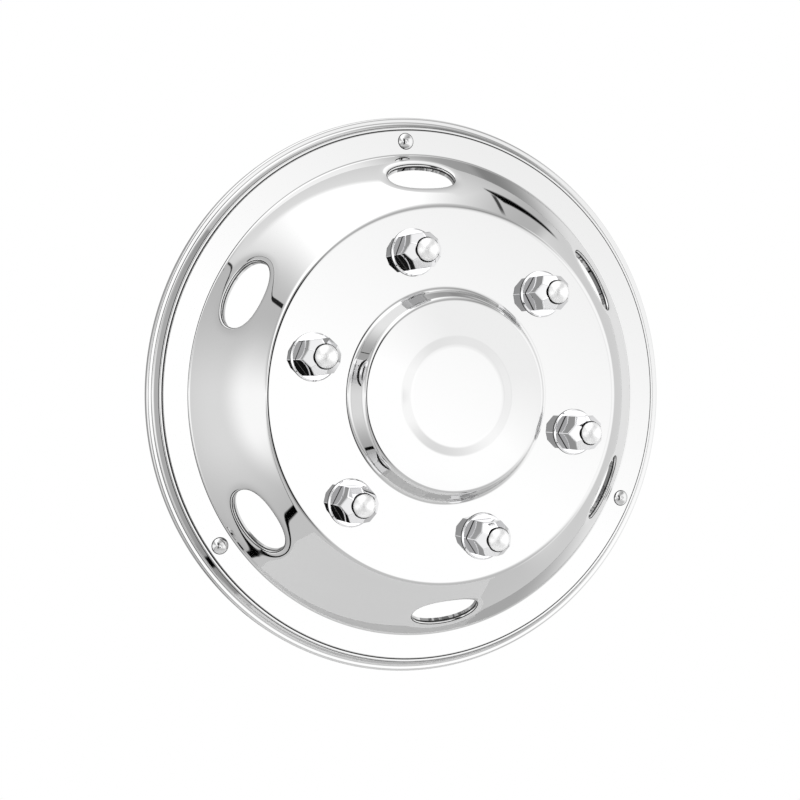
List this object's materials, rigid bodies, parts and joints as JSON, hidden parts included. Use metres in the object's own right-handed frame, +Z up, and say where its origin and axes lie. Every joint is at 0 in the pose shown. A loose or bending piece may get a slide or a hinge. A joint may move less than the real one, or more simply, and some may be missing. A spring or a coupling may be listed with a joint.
{
  "type": "wheel cover",
  "caption": "Round pressed stainless wheel cover with raised face and hub, oval hand holes in its sloping wall, hexagon nut covers and riveted spring clips.",
  "frame": {"origin": "on the wheel axis, at the centre of the stud circle, in the rear plane of the flat face that the nut covers pass through", "axes": "-Y out of the cover's front, along the wheel axis; +Z up; +X to the right as seen from the front"},
  "size_m": [0.437, 0.1071, 0.437],
  "materials": {
    "polished_stainless": "mirror-polished pressed stainless sheet",
    "chromed_nut_cover": "bright chrome plating",
    "spring_steel": "plain spring steel, satin",
    "rivet_steel": "polished stainless rivet"
  },
  "bodies": {
    "root": {"cover_shell": "polished_stainless", "nut_cover_1": "chromed_nut_cover", "nut_cover_2": "chromed_nut_cover", "nut_cover_3": "chromed_nut_cover", "nut_cover_4": "chromed_nut_cover", "nut_cover_5": "chromed_nut_cover", "nut_cover_6": "chromed_nut_cover", "nut_retainer_1": "spring_steel", "nut_retainer_2": "spring_steel", "nut_retainer_3": "spring_steel", "nut_retainer_4": "spring_steel", "nut_retainer_5": "spring_steel", "nut_retainer_6": "spring_steel", "rim_clip_1": "spring_steel", "rim_clip_2": "spring_steel", "rim_clip_3": "spring_steel", "clip_rivet_1": "rivet_steel", "clip_rivet_2": "rivet_steel", "clip_rivet_3": "rivet_steel"}
  },
  "joints": []
}
